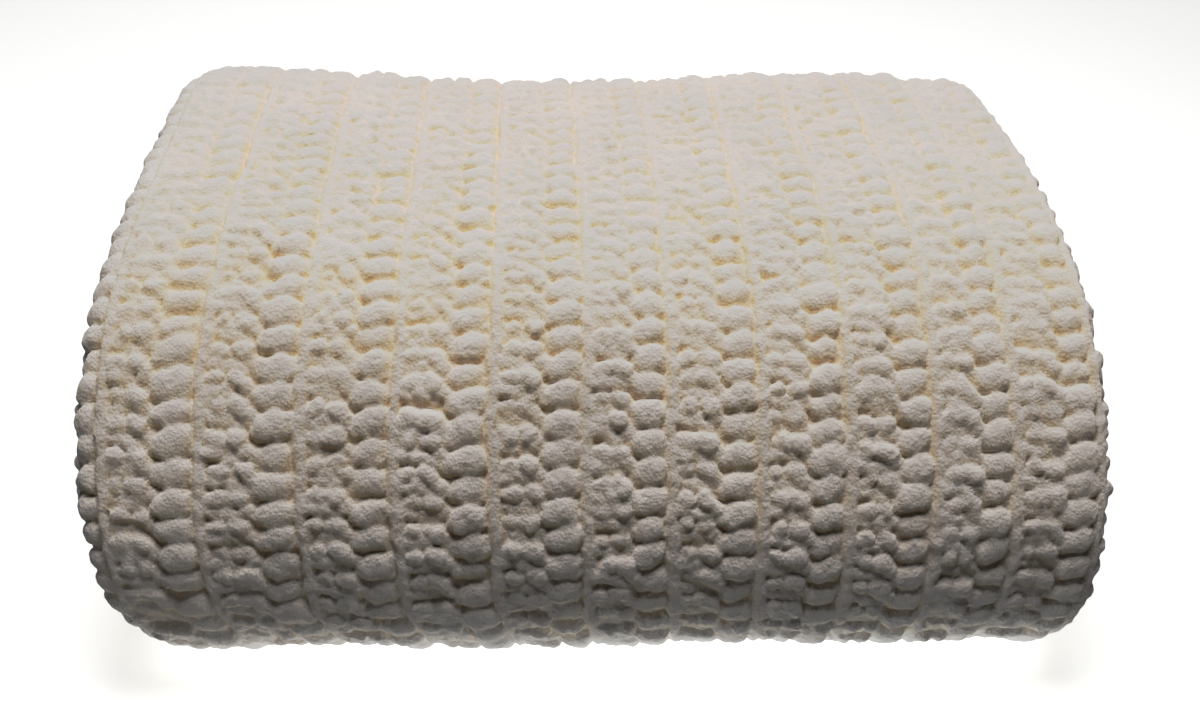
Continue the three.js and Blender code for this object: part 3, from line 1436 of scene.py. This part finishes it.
@dataclass(frozen=True)
class Studio:
    """A plain pale floor, a large soft light overhead and the photograph's camera, in metres.

    Attributes:
        floor_size: of the floor's side.
        floor_colour: of the floor.
        floor_roughness: of the floor.
        floor_glow: how brightly the floor shows for the camera.
        bounce_colour: of the light that the floor gives back to the blanket.
        near_bounce: share of that light beside the blanket.
        far_bounce: share of it further off, kept low so that the front fold stays in shade.
        bounce_reach: from the blanket to where the far share starts.
        near_glow: strength of that light.
        sky_colour: of the light from all round.
        sky_strength: of the light from all round.
        backdrop_strength: how brightly the space behind the floor shows for the camera.
        panel_size: of the light's side.
        panel_place: of the light.
        panel_aim: what the light points at.
        panel_power: in watts.
        focal_pixels: focal length in pixels of the photograph.
        camera_place: of the camera.
        camera_down: how far the camera looks down, in degrees.
        camera_turn: how far it looks to the side, in degrees.
        camera_roll: how far it leans, in degrees.
        response: of the camera, as light and how bright it shows, for deeper shadows and gentler lights.
    """

    floor_size: float = 14.0
    floor_colour: str = "#F4F4F2"
    floor_roughness: float = 0.9
    floor_glow: float = 0.72
    bounce_colour: str = "#E9F1F7"
    near_bounce: float = 1.0
    far_bounce: float = 0.02
    bounce_reach: float = 0.07
    near_glow: float = 2.6
    sky_colour: str = "#E9EEF5"
    sky_strength: float = 0.006
    backdrop_strength: float = 0.8
    panel_size: float = 0.5
    panel_place: tuple[float, float, float] = (0.0, 0.05, 1.0)
    panel_aim: tuple[float, float, float] = (0.0, 0.0, 0.1)
    panel_power: float = 7.45
    focal_pixels: float = 1216.0
    camera_place: tuple[float, float, float] = (-0.0221, -0.4895, 0.454)
    camera_down: float = 38.6
    camera_turn: float = -3.36
    camera_roll: float = 2.12
    response: tuple[tuple[float, float], ...] = (
        (0.05, 0.046), (0.19, 0.155), (0.34, 0.345), (0.50, 0.530), (0.60, 0.590), (0.80, 0.790),
    )

    def build(self) -> None:
        """Makes the floor, the lights and the camera."""
        self._floor()
        self._panel()
        self._sky()
        self._camera()
        self._develop()

    def _floor(self) -> None:
        """Makes a large flat floor that the blanket lies on."""
        half = self.floor_size / 2
        data = bpy.data.meshes.new("studio_floor")
        corners = [(-half, -half, 0), (half, -half, 0), (half, half, 0), (-half, half, 0)]
        data.from_pydata(corners, [], [(0, 1, 2, 3)])
        data.materials.append(self._paper())
        floor = bpy.data.objects.new("studio_floor", data)
        bpy.context.scene.collection.objects.link(floor)

    def _paper(self) -> bpy.types.Material:
        """Makes the floor's paper, which looks white and lights the blanket from below near it only.

        Returns:
            The material.
        """
        # Uncoated paper has no gloss, so the eye sees one even white
        paper = bpy.data.materials.new("matt_white_paper")
        paper.use_nodes = True
        tree = paper.node_tree
        shader = tree.nodes["Principled BSDF"]
        onto_blanket = add_node(tree, "ShaderNodeLightPath").outputs["Is Diffuse Ray"]
        place = add_node(tree, "ShaderNodeTexCoord").outputs["Object"]
        from_middle = add_node(tree, "ShaderNodeVectorMath", {0: place}, operation="ABSOLUTE")
        past_edge = add_node(tree, "ShaderNodeVectorMath", {
            0: from_middle.outputs["Vector"], 1: cad_box[1],
        }, operation="SUBTRACT")
        outside = add_node(tree, "ShaderNodeVectorMath", {
            0: past_edge.outputs["Vector"], 1: (0.0, 0.0, 0.0),
        }, operation="MAXIMUM")
        away = add_node(tree, "ShaderNodeVectorMath", {0: outside.outputs["Vector"]}, operation="LENGTH")
        bounce = add_node(tree, "ShaderNodeMapRange", {
            "Value": away.outputs["Value"], "From Max": self.bounce_reach,
            "To Min": self.near_bounce, "To Max": self.far_bounce,
        })
        dim = add_node(tree, "ShaderNodeVectorMath", {
            0: linear(self.bounce_colour)[:3], "Scale": bounce.outputs["Result"],
        }, operation="SCALE")
        tone = add_node(tree, "ShaderNodeMix", {
            0: onto_blanket, 6: linear(self.floor_colour), 7: dim.outputs["Vector"],
        }, data_type="RGBA")
        glow = add_node(tree, "ShaderNodeMapRange", {
            "Value": onto_blanket, "To Min": self.floor_glow, "To Max": self.near_glow,
        })
        tree.links.new(tone.outputs[2], shader.inputs["Base Color"])
        tree.links.new(tone.outputs[2], shader.inputs["Emission Color"])
        tree.links.new(glow.outputs["Result"], shader.inputs["Emission Strength"])
        shader.inputs["Roughness"].default_value = self.floor_roughness
        return paper

    def _panel(self) -> None:
        """Hangs a soft square light over the stack."""
        lamp = bpy.data.lights.new("overhead_panel", "AREA")
        lamp.shape = "SQUARE"
        lamp.size = self.panel_size
        lamp.energy = self.panel_power
        panel = bpy.data.objects.new("overhead_panel", lamp)
        panel.location = self.panel_place
        panel.visible_camera = False
        down = Vector(self.panel_aim) - Vector(self.panel_place)
        panel.rotation_euler = down.to_track_quat("-Z", "Y").to_euler()
        bpy.context.scene.collection.objects.link(panel)

    def _sky(self) -> None:
        """Gives a little light from all round, and a pale space behind the floor."""
        world = bpy.context.scene.world or bpy.data.worlds.new("studio")
        bpy.context.scene.world = world
        world.use_nodes = True
        tree = world.node_tree
        sky = tree.nodes["Background"]
        sky.inputs["Color"].default_value = linear(self.sky_colour)
        seen = add_node(tree, "ShaderNodeLightPath").outputs["Is Camera Ray"]
        strength = add_node(tree, "ShaderNodeMapRange", {
            "Value": seen, "To Min": self.sky_strength, "To Max": self.backdrop_strength,
        })
        tree.links.new(strength.outputs["Result"], sky.inputs["Strength"])

    def _camera(self) -> None:
        """Places the camera at the photograph's angle and distance."""
        lens = bpy.data.cameras.new("photo_camera")
        lens.sensor_width = FILM_WIDTH
        lens.lens = FILM_WIDTH * self.focal_pixels / PHOTO_WIDTH
        lens.clip_start = 0.01
        camera = bpy.data.objects.new("photo_camera", lens)
        turn = Matrix.Rotation(math.radians(self.camera_turn), 4, "Z")
        tilt = Matrix.Rotation(math.radians(90 - self.camera_down), 4, "X")
        roll = Matrix.Rotation(math.radians(self.camera_roll), 4, "Z")
        camera.matrix_world = Matrix.Translation(self.camera_place) @ turn @ tilt @ roll
        bpy.context.scene.collection.objects.link(camera)
        bpy.context.scene.camera = camera

    def _develop(self) -> None:
        """Gives the picture the camera's response, on the curve that works on all three colours."""
        view = bpy.context.scene.view_settings
        view.view_transform = "Standard"
        view.use_curve_mapping = True
        *_, together = view.curve_mapping.curves
        for light, shown in self.response:
            together.points.new(light, shown)
        view.curve_mapping.update()


def main() -> None:
    """Builds the studio and the blanket."""
    logging.basicConfig(level=logging.INFO, format="%(name)s: %(message)s")
    Studio().build()
    cloth = Cloth()
    blanket = Blanket(cloth, FoldPath(cloth), Crochet(cloth), ChenilleYarn())
    for piece in blanket.build():
        LOG.info("%s: %d faces", piece.name, len(piece.data.polygons))


if __name__ == "__main__":
    main()
